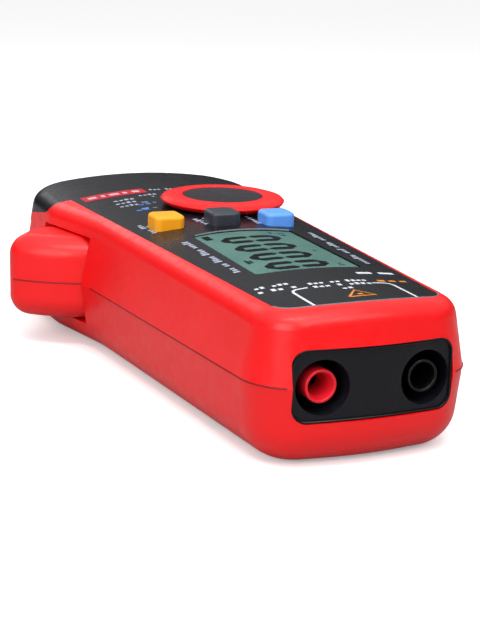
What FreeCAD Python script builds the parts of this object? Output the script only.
import FreeCAD, Part

import math
import os
import re

import Sketcher

# A small clamp meter lying on its back: +Z out of the face, +Y towards the jaws, +X to the right
# seen from the socket end. The origin is on the flat back, on the centre line, at mid length.

V = FreeCAD.Vector
DIMENSIONS = {
    # case
    "front_y": -87.5, "head_y": 41.0, "seam_z": 14.3, "wall": 2.2,
    "half_front": 20.1, "half_waist": 24.7, "half_head": 28.5, "draft": 10.0, "rear_draft": 6.0,
    "top_round": 3.5, "rear_round": 7.0, "front_bow": 60.0, "front_round": 10.0,
    "waist_round": 60.0, "hip_round": 14.0, "head_round": 12.0,
    # sloping face, measured in its own tilted frame: x, distance from the socket end, height
    "face_z": 26.99, "face_tilt": 2.12, "crown": 120.0, "bezel_thick": 1.6, "skin": 1.6,
    "lcd_half": 10.6, "lcd_start": 27.3, "lcd_end": 58.4,
    "pcb_height": -6.8, "pcb_thick": 1.2,
    # rotary knob
    "knob_x": 5.9, "knob_v": 82.8, "knob_radius": 13.3, "knob_top": 2.45, "knob_foot": 0.45,
    "cap_radius": 8.5, "cap_height": 2.2, "hub_radius": 4.5, "rotor_radius": 9.5,
    # keys
    "key_width": 6.4, "key_depth": 6.2, "key_height": 2.6, "key_round": 1.5,
    "key_gap": 0.2,
    # sockets
    "jack_pitch": 19.0, "jack_z": 14.03, "well_radius": 4.73, "well_wall": 1.0, "well_depth": 23.0,
    "sleeve_radius": 2.88, "sleeve_bore": 2.0, "contact_radius": 2.45, "contact_bore": 2.0,
    "contact_length": 15.0, "panel_half": 14.7, "panel_height": 12.0, "panel_recess": 1.4,
    "panel_round": 94.0, "tube_start": 4.0,
    # jaws and their lever
    "pivot_x": -14.5, "pivot_y": 25.7, "pin_radius": 2.0, "pin_bore": 2.03, "lever_disc": 10.9,
    "trigger_radius": 30.0, "fin_end": 18.0, "trigger_low": 6.0, "trigger_high": 23.7, "split_x": 1.5,
    "jaw_y": 59.7, "jaw_inner": 9.0, "jaw_low": 6.8, "jaw_high": 21.8,
    "core_outer": 16.0, "core_inner": 11.0, "core_low": 10.0, "core_high": 18.6,
    # batteries
    "cell_radius": 5.25, "cell_length": 44.5, "cell_x": 6.6, "cell_y": -56.2, "cell_z": 8.3,
    "door_half": 12.6, "door_start": -66.0, "door_end": -10.0, "door_thick": 1.9, "fit": 0.2,
    # fasteners
    "screw_radius": 1.2, "screw_head": 2.2, "screw_length": 15.7, "screw_seat": 2.8, "boss_radius": 3.0,
}

doc = FreeCAD.newDocument("clamp_meter")
sheet = doc.addObject("Spreadsheet::Sheet", "sizes")
for row, (alias, number) in enumerate(DIMENSIONS.items(), start=1):
    sheet.set(f"A{row}", alias)
    sheet.set(f"B{row}", str(number))
    sheet.setAlias(f"B{row}", alias)
doc.recompute()
d = {alias: float(sheet.get(alias)) for alias in DIMENSIONS}
nodes = []

SEAM = d["seam_z"]
PIVOT = V(d["pivot_x"], d["pivot_y"], 0)
RING = V(d["split_x"], d["jaw_y"], 0)
FACE = FreeCAD.Placement(V(0, d["front_y"], d["face_z"]), FreeCAD.Rotation(V(1, 0, 0), d["face_tilt"]))
PCB_TOP = d["pcb_height"] + d["pcb_thick"]
KEYS = {"yellow_button": (-12.3, 68.3), "grey_button": (-0.9, 66.6), "blue_button": (10.5, 65.2)}
JACKS = {"red": -d["jack_pitch"] / 2, "black": d["jack_pitch"] / 2}
CASE_SCREWS = [(-16.0, -58.0), (16.0, -58.0), (-2.0, 10.8), (20.0, 10.8)]
PCB_SCREWS = [(-13.5, 20.0), (13.5, 20.0)]
DOOR_SCREW = (0.0, -63.2)


# ---- outlines and plain solids ---------------------------------------------------------------

def inset(corners, distance):
    """Moves every side of a counter-clockwise outline inwards and keeps its roundings concentric."""
    moved = []
    for i, (x, y, radius) in enumerate(corners):
        before, after = corners[i - 1], corners[(i + 1) % len(corners)]
        a = V(x - before[0], y - before[1], 0).normalize()
        b = V(after[0] - x, after[1] - y, 0).normalize()
        turn = a.x * b.y - a.y * b.x
        half = math.acos(max(-1.0, min(1.0, a.dot(b)))) / 2
        inward = V(-a.y - b.y, a.x + b.x, 0).normalize() * (distance / math.cos(half))
        new_radius = radius - distance if turn > 0 else radius + distance
        moved.append((x + inward.x, y + inward.y, max(new_radius, 0.3) if radius else 0))
    return moved


def outline(corners, z=0.0):
    """A closed wire through (x, y, radius) corners, each rounded by a tangent arc."""
    edges = []
    start = None
    last = None
    for i, (x, y, radius) in enumerate(corners):
        here = V(x, y, z)
        before = V(corners[i - 1][0], corners[i - 1][1], z)
        after_corner = corners[(i + 1) % len(corners)]
        after = V(after_corner[0], after_corner[1], z)
        back = (before - here).normalize()
        ahead = (after - here).normalize()
        turn = math.pi - back.getAngle(ahead)
        reach = radius * math.tan(turn / 2)
        enter, leave = here + back * reach, here + ahead * reach
        if last is not None:
            edges.append(Part.LineSegment(last, enter).toShape())
        else:
            start = enter
        if radius:
            middle = here + (back + ahead).normalize() * (radius / math.cos(turn / 2) - radius)
            edges.append(Part.Arc(enter, middle, leave).toShape())
        last = leave
    edges.append(Part.LineSegment(last, start).toShape())
    return Part.Wire(edges)


def prism(corners, low, high):
    return Part.Face(outline(corners, low)).extrude(V(0, 0, high - low))


def rectangle(x0, x1, y0, y1, radius=0.0):
    return [(x0, y0, radius), (x1, y0, radius), (x1, y1, radius), (x0, y1, radius)]


def block(x0, x1, y0, y1, z0, z1):
    return Part.makeBox(x1 - x0, y1 - y0, z1 - z0, V(x0, y0, z0))


def rod(radius, x, y, z0, z1):
    return Part.makeCylinder(radius, z1 - z0, V(x, y, z0))


def rod_y(radius, x, z, y0, y1):
    return Part.makeCylinder(radius, y1 - y0, V(x, y0, z), V(0, 1, 0))


def united(shapes):
    return shapes[0].multiFuse(shapes[1:]).removeSplitter()


def tilted(shape):
    """Carries a shape from the face's own frame into the meter's frame."""
    return shape.transformed(FACE.toMatrix())


def rounded(shape, radius, chosen):
    result = shape.makeFillet(radius, [edge for edge in shape.Edges if chosen(edge)])
    if not result.isValid():
        raise SystemExit(f"A rounding of {radius} mm is too large for its edges")
    return result


# ---- document helpers --------------------------------------------------------------------------

def keep(thing, name):
    thing.Label = name
    nodes.append(thing)
    return thing


def feature(name, shape, placement=None):
    """A sub-part whose shape is made by Part's own functions from the sheet's sizes."""
    thing = doc.addObject("Part::Feature", name)
    thing.Shape = shape
    if placement is not None:
        thing.Placement = placement
    return keep(thing, name)


def on_sheet(expression):
    """Points every name in an expression at the sheet, for use outside it."""
    return re.sub(r"[a-z][a-z_]*", r"sizes.\g<0>", expression)


def bind(thing, **expressions):
    for prop, expression in expressions.items():
        thing.setExpression(prop, on_sheet(expression))
    return thing


def value(expression):
    return float(sheet.evalExpression(expression)) if isinstance(expression, str) else expression


def new_body(name):
    body = doc.addObject("PartDesign::Body", name)
    body.Label = name
    return body


def new_sketch(body, plane, name):
    sketch = body.newObject("Sketcher::SketchObject", name)
    base = next(f for f in body.Origin.OriginFeatures if f.Role == plane)
    sketch.AttachmentSupport = [(base, "")]
    sketch.MapMode = "FlatFace"
    return sketch


def pin_down(sketch, axis, geometry, vertex, expression):
    """Binds one coordinate of a sketch point to a sheet expression."""
    number = value(expression)
    if abs(number) < 1e-9:
        axis_line = -2 if axis == "DistanceX" else -1
        sketch.addConstraint(Sketcher.Constraint("PointOnObject", geometry, vertex, axis_line))
        return
    index = sketch.addConstraint(Sketcher.Constraint(axis, -1, 1, geometry, vertex, number))
    if isinstance(expression, str):
        sketch.setExpression(f"Constraints[{index}]", on_sheet(expression))


def polygon(sketch, points):
    """A closed polygon whose every point is bound to a pair of sheet expressions."""
    places = [V(value(x), value(y), 0) for x, y in points]
    first = sketch.GeometryCount
    for i, place in enumerate(places):
        sketch.addGeometry(Part.LineSegment(place, places[(i + 1) % len(places)]), False)
    for i, (x, y) in enumerate(points):
        following = first + (i + 1) % len(points)
        sketch.addConstraint(Sketcher.Constraint("Coincident", first + i, 2, following, 1))
        pin_down(sketch, "DistanceX", first + i, 1, x)
        pin_down(sketch, "DistanceY", first + i, 1, y)


def turned(name, profile, placement):
    """A body turned about its own Z axis; the profile is (radius, height) pairs."""
    body = new_body(name)
    sketch = new_sketch(body, "XZ_Plane", name + "_profile")
    polygon(sketch, profile)
    turn = body.newObject("PartDesign::Revolution", name + "_turn")
    turn.Profile = sketch
    turn.ReferenceAxis = (sketch, ["V_Axis"])
    turn.Angle = 360.0
    body.Tip = turn
    body.Placement = placement
    doc.recompute()
    return keep(body, name)


def primitive(kind, name, **sizes):
    thing = doc.addObject("Part::" + kind, name)
    return bind(thing, **sizes)


def rotated(axis, angle, at=V(0, 0, 0)):
    return FreeCAD.Placement(at, FreeCAD.Rotation(axis, angle))


# ---- the case's outer shape --------------------------------------------------------------------

CASE = [
    (0.0, d["front_y"] - 0.65, d["front_bow"]),
    (d["half_front"], d["front_y"] + 1.97, d["front_round"]),
    (d["half_waist"], -5.0, d["waist_round"]),
    (d["half_head"], 16.0, d["hip_round"]),
    (d["half_head"], d["head_y"], d["head_round"]),
    (-d["half_head"], d["head_y"], d["head_round"]),
    (-d["half_head"], 16.0, d["hip_round"]),
    (-d["half_waist"], -5.0, d["waist_round"]),
    (-d["half_front"], d["front_y"] + 1.97, d["front_round"]),
]
BEZEL = [(0.0, -83.785, 52.0), (15.35, -80.64, 4.0), (22.2, 30.0, 0), (-22.2, 30.0, 0),
         (-15.35, -80.64, 4.0)]
LOFT_TOP = 40.0
REAR_SHRINK = SEAM * math.tan(math.radians(d["rear_draft"]))


def flared(corners, low, high, slope):
    """A solid whose outline shrinks with height at the given slope in degrees."""
    shrink = (high - low) * math.tan(math.radians(slope))
    bottom, top = outline(corners, low), outline(inset(corners, shrink), high)
    return Part.makeLoft([bottom, top], True, True)


def under_face(depth, length=140.0):
    """Everything under the crowned, tilted face, lowered by a depth."""
    crown = d["crown"] - depth
    roll = rod_y(crown, 0, -d["crown"], -6, length)
    roll.rotate(V(0, 0, -d["crown"]), V(0, 1, 0), 180)
    return tilted(roll)


def upper_block():
    """The upper half of the case, under the sloping face."""
    return flared(CASE, SEAM, LOFT_TOP, d["draft"]).common(under_face(0))


def lower_block():
    """The lower half of the case; its outline shrinks downwards."""
    return Part.makeLoft([outline(inset(CASE, REAR_SHRINK), 0), outline(CASE, SEAM)], True, True)


def is_top_edge(edge):
    middle = edge.CenterOfMass
    return edge.Length > 1 and middle.z > SEAM + 6 and abs(edge.BoundBox.ZLength) < edge.Length * 0.4


def is_bottom_edge(edge):
    return edge.BoundBox.ZMax < 0.01


outer_upper = rounded(upper_block(), d["top_round"], is_top_edge)
outer_lower = rounded(lower_block(), d["rear_round"], is_bottom_edge)

# The dark head cover takes the place of the red case above a line that falls away past the waist.
head_line = [V(-40, 14.5, 45), V(-40, 16.6, 29.0), V(-40, 18.6, 26.0), V(-40, 45, 22.0), V(-40, 45, 45)]
head_zone = Part.Face(Part.makePolygon(head_line + [head_line[0]])).extrude(V(80, 0, 0))
head_zone = rounded(head_zone, 4.0, lambda e: abs(e.CenterOfMass.y - 18.6) < 0.1 and e.Length > 70)

# Open ways through the case: the lever's swing on the left, the jaws' mouth, the socket panel.
swing = rod(d["trigger_radius"] + 0.4, PIVOT.x, PIVOT.y, d["trigger_low"] - 0.4, d["trigger_high"] + 0.4)
swing = swing.common(block(-60, PIVOT.x, -20, d["fin_end"] + 0.4, 0, 40))
hub_way = rod(d["lever_disc"] + 0.8, PIVOT.x, PIVOT.y, d["jaw_low"] - 0.5, d["jaw_high"] + 0.5)
mouth = block(-35, 21, 30, 60, d["jaw_low"] - 0.5, d["jaw_high"] + 0.5).fuse(hub_way)
PANEL = rectangle(-d["panel_half"], d["panel_half"], -d["panel_height"] / 2, d["panel_height"] / 2, 2.5)


def panel_plate(grow, front, back):
    """The socket panel's outline, pushed along Y from one depth to another."""
    flat = prism(inset(PANEL, -grow), 0, back - front)
    flat.Placement = FreeCAD.Placement(V(0, back, SEAM), FreeCAD.Rotation(V(1, 0, 0), 90))
    return flat


TUBE = d["well_radius"] + d["well_wall"]
TUBE_FRONT = d["front_y"] + d["tube_start"]
tube_ways = [rod_y(TUBE + 0.1, x, d["jack_z"], TUBE_FRONT - 0.1, TUBE_FRONT + 4) for x in JACKS.values()]
panel_way = united([panel_plate(0.25, d["front_y"] - 3, d["front_y"] + 4.6)] + tube_ways)

# ---- shells ------------------------------------------------------------------------------------

SKIN_UNDER = d["bezel_thick"] + d["skin"]


def lcd_outline(grow):
    """The display window, arched at its far end."""
    half, start, end = d["lcd_half"] + grow, d["lcd_start"] - grow, d["lcd_end"] + grow
    far_side = [(half, end, 1.2), (0, end + 1.8, 48.0), (-half, end, 1.2)]
    return [(-half, start, 0.8), (half, start, 0.8)] + far_side


def key_outline(name, grow):
    x, v = KEYS[name]
    half_x, half_v = d["key_width"] / 2 + grow, d["key_depth"] / 2 + grow
    return rectangle(x - half_x, x + half_x, v - half_v, v + half_v, d["key_round"] + grow)


def face_ways(low, high):
    """Holes through the face for the display, the keys and the knob's hub."""
    ways = [prism(lcd_outline(0.0), low, high)]
    ways += [prism(key_outline(name, d["key_gap"]), low, high) for name in KEYS]
    ways.append(rod(d["hub_radius"] + 0.3, d["knob_x"], d["knob_v"], low, high))
    return [tilted(way) for way in ways]


def under_pockets():
    """Flat seats under the curved skin for the display frame, the key flanges and the rotor."""
    low, high = -9.0, -SKIN_UNDER - 0.15
    seats = [prism(rectangle(-12.8, 12.8, 25.6, 61.4), low, high),
             prism(rectangle(-16.3, 16.3, 61.3, 72.4), low, high),
             rod(d["rotor_radius"] + 0.4, d["knob_x"], d["knob_v"], low, high)]
    return [tilted(seat) for seat in seats]


def pcb_bosses():
    """Short posts under the skin that the circuit board is screwed to."""
    posts = [rod(2.2, x, v, PCB_TOP + 0.02, -3.0).cut(rod(0.92, x, v, -9, -3.4)) for x, v in PCB_SCREWS]
    return [tilted(post) for post in posts]


def upper_boss(x, y):
    """A boss on the upper case, with a pilot hole for a screw from the back."""
    top = 20.7 if y < 0 else 30.0
    boss = rod(d["boss_radius"], x, y, SEAM, top).common(under_face(d["bezel_thick"] + 0.4))
    return boss, rod(d["screw_radius"] - 0.02, x, y, SEAM - 1, 20.0)


def make_front_case():
    cavity = flared(inset(CASE, d["wall"]), SEAM - 1, LOFT_TOP, d["draft"]).common(under_face(SKIN_UNDER))
    cavity = cavity.common(block(-60, 60, -100, 16, 0, 60))
    head_cavity = prism(inset(CASE, d["wall"] + 1.6), SEAM - 1, d["trigger_high"] + 0.4)
    shell = outer_upper.cut(head_zone).cut(cavity).cut(head_cavity.common(block(-60, 60, 15, 60, 0, 60)))
    recess = prism(inset(BEZEL, -0.05), 0, LOFT_TOP).common(block(-60, 60, -100, 30, 0, 60))
    recess = recess.cut(under_face(d["bezel_thick"]))
    bosses = [upper_boss(x, y) for x, y in CASE_SCREWS]
    shell = shell.cut(recess).cut(united(under_pockets()))
    shell = united([shell] + [boss for boss, pilot in bosses] + pcb_bosses())
    shell = shell.cut(Part.makeCompound(face_ways(-8, 5) + [pilot for boss, pilot in bosses]))
    pivot_boss = rod(4.0, PIVOT.x, PIVOT.y, d["jaw_high"] + 0.3, d["trigger_high"] + 1.4)
    pivot_hole = rod(d["pin_bore"], PIVOT.x, PIVOT.y, SEAM, 25.0)
    return united([shell.cut(swing).cut(mouth).cut(panel_way), pivot_boss]).cut(pivot_hole)


def make_rear_case():
    floor = outline(inset(CASE, d["wall"] + REAR_SHRINK + 3.0), d["wall"])
    rim = outline(inset(CASE, d["wall"]), SEAM + 1)
    cavity = Part.makeLoft([floor, rim], True, True)
    shell = outer_lower.cut(cavity)
    bosses = [rod(d["boss_radius"], x, y, 1.0, SEAM).common(outer_lower) for x, y in CASE_SCREWS]
    bosses.append(rod(2.4, *DOOR_SCREW, 2.2, 9.0))
    bosses.append(block(-2.4, 2.4, DOOR_SCREW[1], d["door_start"] + 8.4, 2.2, 9.0))
    bosses.append(rod(4.0, PIVOT.x, PIVOT.y, 1.0, d["jaw_low"] - 0.3))
    near, far = d["door_start"] + 7.4, d["door_end"] + 1.8
    ends = [block(-14, 14, near, near + 1, 2.1, 12.5), block(-14, 14, far - 1, far, 2.1, 12.5)]
    sides = [block(x - 0.5, x + 0.5, near, far, 1.0, 12.5) for x in (-13.4, 13.4)]
    door_way = prism(rectangle(-d["door_half"] - d["fit"], d["door_half"] + d["fit"],
                               d["door_start"] - d["fit"], d["door_end"] + d["fit"], 2.2), -1, 2.2)
    holes = [rod(d["screw_radius"] + 0.2, x, y, -1, SEAM + 1) for x, y in CASE_SCREWS]
    holes += [rod(d["screw_head"] + 0.2, x, y, -1, d["screw_seat"] + 1.5) for x, y in CASE_SCREWS]
    holes.append(rod(d["screw_radius"] - 0.02, *DOOR_SCREW, 1.0, 8.0))
    holes.append(rod(d["pin_bore"], PIVOT.x, PIVOT.y, 2.5, 10))
    shell = united([shell.cut(door_way)] + bosses + ends + sides)
    shell = shell.cut(Part.makeCompound(holes)).cut(panel_way)
    return shell.cut(swing).cut(mouth)


def make_front_bezel():
    plate = prism(BEZEL, 0, LOFT_TOP).common(outer_upper).cut(under_face(d["bezel_thick"]))
    plate = plate.common(block(-60, 60, -100, 26, 0, 60))
    head = outer_upper.common(head_zone)
    hollow = prism(inset(CASE, 8.0), 25.8, 27.8).common(block(-60, 60, 22, 60, 0, 60))
    bezel = united([plate, head.cut(hollow)])
    pivot_seat = rod(4.0, PIVOT.x, PIVOT.y, d["jaw_high"], d["trigger_high"] + 1.4)
    return bezel.cut(Part.makeCompound(face_ways(-8, 5) + [pivot_seat]))


def make_jack_panel():
    middle_y = d["front_y"] + d["panel_recess"] + d["panel_round"]
    roll = rod(d["panel_round"], 0, middle_y, -5, 35)
    plate = panel_plate(0, d["front_y"] - 2, d["front_y"] + 4.2).common(roll)
    back = d["front_y"] + d["well_depth"]
    tubes, ways = [], []
    for x in JACKS.values():
        tubes.append(rod_y(TUBE, x, d["jack_z"], TUBE_FRONT, back))
        ways.append(rod_y(d["well_radius"], x, d["jack_z"], d["front_y"] - 5, back - 1.6))
        ways.append(rod_y(d["sleeve_radius"], x, d["jack_z"], back - 3, back + 1))
    return united([plate] + tubes).cut(Part.makeCompound(ways))


feature("front_case", make_front_case())
feature("rear_case", make_rear_case())
feature("front_bezel", make_front_bezel())
feature("jack_panel", make_jack_panel())

# ---- sockets -----------------------------------------------------------------------------------

SOCKET_FRONT = d["front_y"] + 2.6
ALONG_Y = V(1, 0, 0)
for colour, x in JACKS.items():
    place = rotated(ALONG_Y, -90, V(x, SOCKET_FRONT, d["jack_z"]))
    turned(f"{colour}_socket_sleeve", [
        ("sleeve_bore", 1.0), ("sleeve_bore + 0.4", 0), ("sleeve_radius", 0),
        ("sleeve_radius", "well_depth - 0.6"), ("contact_radius + 0.02", "well_depth - 0.6"),
        ("contact_radius + 0.02", 6.0), ("sleeve_bore", 6.0),
    ], place)
    turned(f"{colour}_socket_contact", [
        ("contact_bore", 6.05), ("contact_radius", 6.05), ("contact_radius", "6.05 + contact_length"),
        ("contact_bore", "6.05 + contact_length"),
    ], place)

# ---- display, circuit board and keys -------------------------------------------------------------

LCD_TOP, LCD_BACK = -1.4, -3.4


def slab(name, corners, low, high, cuts=()):
    """A flat sub-part of the tilted stack under the face."""
    shape = prism(corners, low, high)
    if cuts:
        shape = shape.cut(Part.makeCompound(list(cuts)))
    return feature(name, shape, FACE)


def make_lens():
    under_crown = rod_y(d["crown"] - 0.25, 0, -d["crown"], 0, 80)
    return prism(lcd_outline(-0.1), -1.1, 0).common(under_crown)


feature("lcd_window", make_lens(), FACE)
slab("lcd_glass", lcd_outline(-0.15), LCD_BACK, LCD_TOP)
BACKLIGHT = rectangle(-9.0, 9.0, 33.0, 56.5, 0.5)
STRIP = rectangle(-9.5, 9.5, 28.6, 30.8)
slab("lcd_frame", rectangle(-12.6, 12.6, 25.8, 61.2, 1.0), PCB_TOP + 0.02, -SKIN_UNDER - 0.22,
     [prism(inset(BACKLIGHT, -0.1), -9, 0), prism(inset(STRIP, -0.1), -9, 0)])
slab("lcd_backlight", BACKLIGHT, PCB_TOP + 0.02, LCD_BACK - 0.02)
slab("zebra_strip", STRIP, PCB_TOP + 0.02, LCD_BACK - 0.02)

PCB = [(-15.0, 9.6, 1.0), (15.0, 9.6, 1.0), (15.0, 26.6, 0), (12.4, 27.0, 0), (12.4, 32.0, 0),
       (16.0, 34.0, 0), (17.2, 92.4, 1.0), (-8.3, 92.4, 1.0), (-8.3, 79.0, 0), (-16.8, 78.0, 1.0),
       (-16.0, 34.0, 0), (-12.4, 32.0, 0), (-12.4, 27.0, 0), (-15.0, 26.6, 0)]
slab("main_pcb", PCB, d["pcb_height"], PCB_TOP, [rod(0.95, x, v, -9, 0) for x, v in PCB_SCREWS])
slab("keypad_membrane", rectangle(-16.0, 16.0, 62.2, 72.2, 1.0), PCB_TOP + 0.02, PCB_TOP + 0.5)
slab("measurement_ic", rectangle(-4.0, 4.0, 38.0, 46.0), d["pcb_height"] - 1.3, d["pcb_height"] - 0.02)


def make_pcb_screws():
    heads = [rod(1.7, x, v, d["pcb_height"] - 1.0, d["pcb_height"] - 0.02) for x, v in PCB_SCREWS]
    shanks = [rod(0.9, x, v, d["pcb_height"] - 1.0, PCB_TOP + 1.2) for x, v in PCB_SCREWS]
    pairs = [head.fuse(shank) for head, shank in zip(heads, shanks)]
    return Part.makeCompound([pair.removeSplitter() for pair in pairs])


feature("pcb_screws", make_pcb_screws(), FACE)
buzzer = primitive("Cylinder", "buzzer", Radius="rotor_radius * 0.5", Height="2.2")
BUZZER_SEAT = V(10.5, 52.0, d["pcb_height"] - 2.25)
buzzer.Placement = FACE.multiply(FreeCAD.Placement(BUZZER_SEAT, FreeCAD.Rotation()))
keep(buzzer, "buzzer")


def make_key(name):
    """A keycap with a flange that stops it under the skin."""
    top = d["key_height"] - KEYS[name][0] ** 2 / (2 * d["crown"])
    cap = prism(key_outline(name, 0.0), -SKIN_UNDER - 0.9, top)
    cap = rounded(cap, 0.7, lambda edge: edge.BoundBox.ZMin > top - 0.01)
    flange = prism(key_outline(name, 0.8), -SKIN_UNDER - 0.9, -SKIN_UNDER - 0.25)
    return united([cap, flange])


for name in KEYS:
    feature(name, make_key(name), FACE)

# ---- rotary knob ---------------------------------------------------------------------------------

KNOB = FACE.multiply(FreeCAD.Placement(V(d["knob_x"], d["knob_v"], 0), FreeCAD.Rotation()))
turned("knob_ring", [
    ("3.0", "knob_foot"), ("knob_radius - 1.1", "knob_foot"), ("knob_radius - 0.3", "knob_foot + 0.5"),
    ("knob_radius", "knob_foot + 1.0"), ("knob_radius - 0.5", "knob_foot + 1.5"),
    ("knob_radius - 1.6", "knob_top - 0.2"), ("cap_radius + 0.6", "knob_top"),
    ("cap_radius + 0.05", "knob_top - 0.15"),
    ("cap_radius + 0.05", "knob_foot + 0.3"), ("3.0", "knob_foot + 0.3"),
], KNOB)
turned("knob_cap", [
    (0, "knob_foot + 0.32"), ("cap_radius", "knob_foot + 0.32"), ("cap_radius", "cap_height"),
    ("cap_radius - 1.2", "cap_height - 0.1"), (0, "cap_height - 0.35"),
], KNOB)
turned("knob_rotor", [
    (0, -5.0), ("rotor_radius", -5.0), ("rotor_radius", -3.5), ("hub_radius", -3.5),
    ("hub_radius", "knob_foot - 0.02"), ("2.9", "knob_foot - 0.02"), ("2.9", "knob_foot + 0.28"),
    (0, "knob_foot + 0.28"),
], KNOB)


def around(shape, count):
    """Copies of a shape turned evenly about the knob's axis."""
    copies = []
    for step in range(count):
        copy = shape.copy()
        copy.rotate(V(0, 0, 0), V(0, 0, 1), step * 360.0 / count)
        copies.append(copy)
    return Part.makeCompound(copies)


feature("rotor_contacts", around(block(3.5, 8.0, -0.7, 0.7, -5.3, -5.02), 3), KNOB)


# ---- batteries and their door --------------------------------------------------------------------

ALONG = FreeCAD.Rotation(V(1, 0, 0), -90)
for number, x in enumerate((-d["cell_x"], d["cell_x"]), start=1):
    turned(f"battery_{number}", [
        (0, 0), ("cell_radius", 0), ("cell_radius", "cell_length - 1.2"), (1.9, "cell_length - 1.2"),
        (1.9, "cell_length"), (0, "cell_length"),
    ], FreeCAD.Placement(V(x, d["cell_y"] + 1.2, d["cell_z"]), ALONG))


def coil(radius, wire, pitch, height):
    """A round-wire compression spring along +Z."""
    helix = Part.makeHelix(pitch, height, radius)
    section = Part.Wire(Part.makeCircle(wire, V(radius, 0, 0), V(0, 1, 0)))
    return Part.Wire(helix).makePipeShell([section], True, True)


def make_battery_springs():
    springs = []
    for x in (-d["cell_x"], d["cell_x"]):
        spring = coil(2.6, 0.3, 0.75, 1.5)
        spring.Placement = FreeCAD.Placement(V(x, d["cell_y"] - 0.8, d["cell_z"]), ALONG)
        springs.append(spring)
    return Part.makeCompound(springs)


feature("battery_springs", make_battery_springs())
plates = {"battery_spring_plate": "cell_y - 1.35", "battery_contact_plate": "cell_y + cell_length + 1.25"}
for name, start in plates.items():
    plate = primitive("Box", name, Length="23.0", Width="0.2", Height="9.5")
    plate.setExpression("Placement.Base.x", "-11.5")
    plate.setExpression("Placement.Base.y", on_sheet(start))
    plate.setExpression("Placement.Base.z", "3.4")
    keep(plate, name)


def make_battery_door():
    half, start, end = d["door_half"], d["door_start"], d["door_end"]
    door = prism(rectangle(-half, half, start, end, 2.0), 0.15, d["door_thick"])
    door = rounded(door, 0.5, lambda edge: edge.BoundBox.ZMax < 0.16)
    grip = [block(-7, 7, start + 9 + 2.0 * i, start + 10 + 2.0 * i, 0, 0.6) for i in range(5)]
    hole = rod(d["screw_radius"] + 0.1, *DOOR_SCREW, -1, 3)
    head = rod(d["screw_head"] + 0.1, *DOOR_SCREW, -1, 1.2)
    return door.cut(Part.makeCompound(grip + [hole.fuse(head)]))


feature("battery_door", make_battery_door())

# ---- fasteners -----------------------------------------------------------------------------------


def screw(x, y, z, length, slot, head_height):
    """A screw driven from the back, its head downwards, with a cross recess."""
    head = rod(d["screw_head"], x, y, z, z + head_height)
    cross = block(x - slot, x + slot, y - 0.3, y + 0.3, z - 1, z + 0.8)
    cross = cross.fuse(block(x - 0.3, x + 0.3, y - slot, y + slot, z - 1, z + 0.8))
    return united([head, rod(d["screw_radius"] - 0.02, x, y, z, z + length)]).cut(cross)


long_screws = [screw(x, y, d["screw_seat"], d["screw_length"], 1.3, 1.4) for x, y in CASE_SCREWS]
feature("case_screws", Part.makeCompound(long_screws))
feature("battery_door_screw", screw(*DOOR_SCREW, 0.3, 7.0, 1.1, 0.9))
pin = primitive("Cylinder", "pivot_pin", Radius="pin_radius", Height="jaw_high + 0.2")
pin.setExpression("Placement.Base.x", on_sheet("pivot_x"))
pin.setExpression("Placement.Base.y", on_sheet("pivot_y"))
pin.setExpression("Placement.Base.z", "2.55")
keep(pin, "pivot_pin")


# The torsion spring that closes the jaws: its turns lie round the pivot, under the lever.
jaw_spring = coil(4.7, 0.35, 0.8, 2.4)
jaw_spring.translate(V(PIVOT.x, PIVOT.y, 3.0))
feature("jaw_spring", jaw_spring)

# ---- jaws, cores and trigger ---------------------------------------------------------------------

DISC = d["lever_disc"]
JAW_ROUND, TIP_ROUND, FIN_ROUND = 1.5, 4.0, 4.5
LEFT_JAW = [(1.45, 30.5, 0), (1.45, 87.5, 0), (-1.8, 86.4, 2.0), (-9.5, 74.0, 8.0),
            (-16.5, 64.0, 12.0), (-16.5, 56.0, 12.0), (-20.5, 44.0, 30.0), (-23.8, 29.0, 3.0),
            (-14.5, 16.0, 3.0), (-3.0, 22.0, 2.0)]
RIGHT_JAW = [(1.55, 24.0, 0), (20.5, 24.0, 0), (20.5, 40.7, 1.0), (19.5, 56.0, 12.0), (19.5, 64.0, 12.0),
             (12.5, 74.0, 8.0), (4.8, 86.4, 2.0), (1.55, 87.5, 0)]


def jaw_shell(corners, low, high, pockets, holes):
    """Half of a jaw's plastic housing: its outline, the window, and the core's channel."""
    shell = prism(corners, low, high)
    if corners is LEFT_JAW:
        shell = united([shell, rod(DISC, PIVOT.x, PIVOT.y, low, high)])
    shell = shell.cut(rod(d["jaw_inner"], RING.x, RING.y, 0, 40))
    outside = high if high > SEAM + 1 else low

    def on_rim(edge):
        middle = edge.CenterOfMass
        flat = edge.BoundBox.ZLength < 0.01 and abs(middle.z - outside) < 0.01
        return flat and abs(middle.x - d["split_x"]) > 0.2

    shell = rounded(shell, JAW_ROUND, on_rim)
    return shell.cut(Part.makeCompound(pockets + holes))


def half_ring(side, slack):
    """One half of the split magnetic core, or its channel when slack is added."""
    ring = rod(d["core_outer"] + slack, RING.x, RING.y, d["core_low"] - slack, d["core_high"] + slack)
    ring = ring.cut(rod(d["core_inner"] - slack, RING.x, RING.y, 0, 40))
    gap = 0.45 - slack
    if side < 0:
        return ring.common(block(-40, d["split_x"] - gap, 0, 90, 0, 40))
    return ring.common(block(d["split_x"] + gap, 40, 0, 90, 0, 40))


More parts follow.
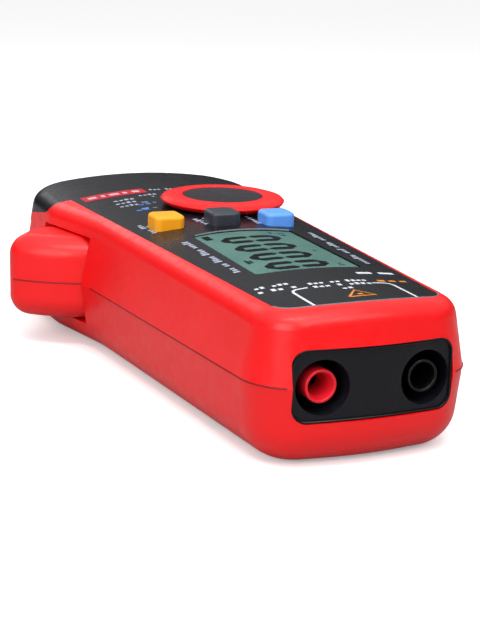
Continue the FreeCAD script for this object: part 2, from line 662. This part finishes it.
SENSOR = [2.2, 4.0, 44.4, 48.0, 12.5, 16.1]
sensor_pocket = block(*[side + (0.1 if i % 2 else -0.1) for i, side in enumerate(SENSOR)])
pivot_hole = rod(d["pin_bore"], PIVOT.x, PIVOT.y, 0, 40)
for side, low, high in (("front", SEAM, d["jaw_high"]), ("rear", d["jaw_low"], SEAM)):
    feature(f"moving_jaw_{side}", jaw_shell(LEFT_JAW, low, high, [half_ring(-1, 0.1)], [pivot_hole]))
    feature(f"fixed_jaw_{side}", jaw_shell(RIGHT_JAW, low, high, [half_ring(1, 0.1)], [sensor_pocket]))
feature("moving_core", half_ring(-1, 0))
feature("fixed_core", half_ring(1, 0).cut(sensor_pocket))
feature("hall_sensor", block(*SENSOR))


def make_trigger(low, high):
    """Half of the finger lever: a fin whose lower face is an arc about the pivot."""
    fin = [(-43.0, -6.0, 0), (-20.9, -5.0, 0), (PIVOT.x, PIVOT.y, 0), (-22.0, 36.5, 0), (-28.2, 36.0, 0),
           (-29.4, 21.0, 10.0), (-43.0, 1.2, 0)]
    shape = prism(fin, low, high).common(rod(d["trigger_radius"], PIVOT.x, PIVOT.y, low, high))
    shape = shape.cut(rod(DISC, PIVOT.x, PIVOT.y, 0, 40)).cut(block(-60, 0, d["fin_end"], 60, 0, 40))
    upright = [edge for edge in shape.Edges if edge.BoundBox.ZLength > 1]
    tip = min(upright, key=lambda edge: edge.CenterOfMass.x)
    shape = shape.makeFillet(TIP_ROUND, [tip])
    outside = high if high > SEAM + 1 else low

    def on_outer_rim(edge):
        middle = edge.CenterOfMass
        return edge.BoundBox.ZLength < 0.01 and abs(middle.z - outside) < 0.01 and middle.x < -24

    return rounded(shape, FIN_ROUND, on_outer_rim)


feature("trigger_front", make_trigger(SEAM, d["trigger_high"]))
feature("trigger_rear", make_trigger(d["trigger_low"], SEAM))

# ---- checks and export ---------------------------------------------------------------------------

doc.recompute()
for thing in doc.Objects:
    if "Invalid" in thing.State or "Error" in thing.State:
        raise SystemExit(f"{thing.Label} did not compute: {thing.State}")
for thing in nodes:
    if thing.Shape.isNull() or not thing.Shape.isValid():
        raise SystemExit(f"{thing.Label} has no valid shape")

os.makedirs("parts", exist_ok=True)
for thing in nodes:
    thing.Shape.exportStep(f"parts/{thing.Label}.step")
print(len(nodes), "parts written")
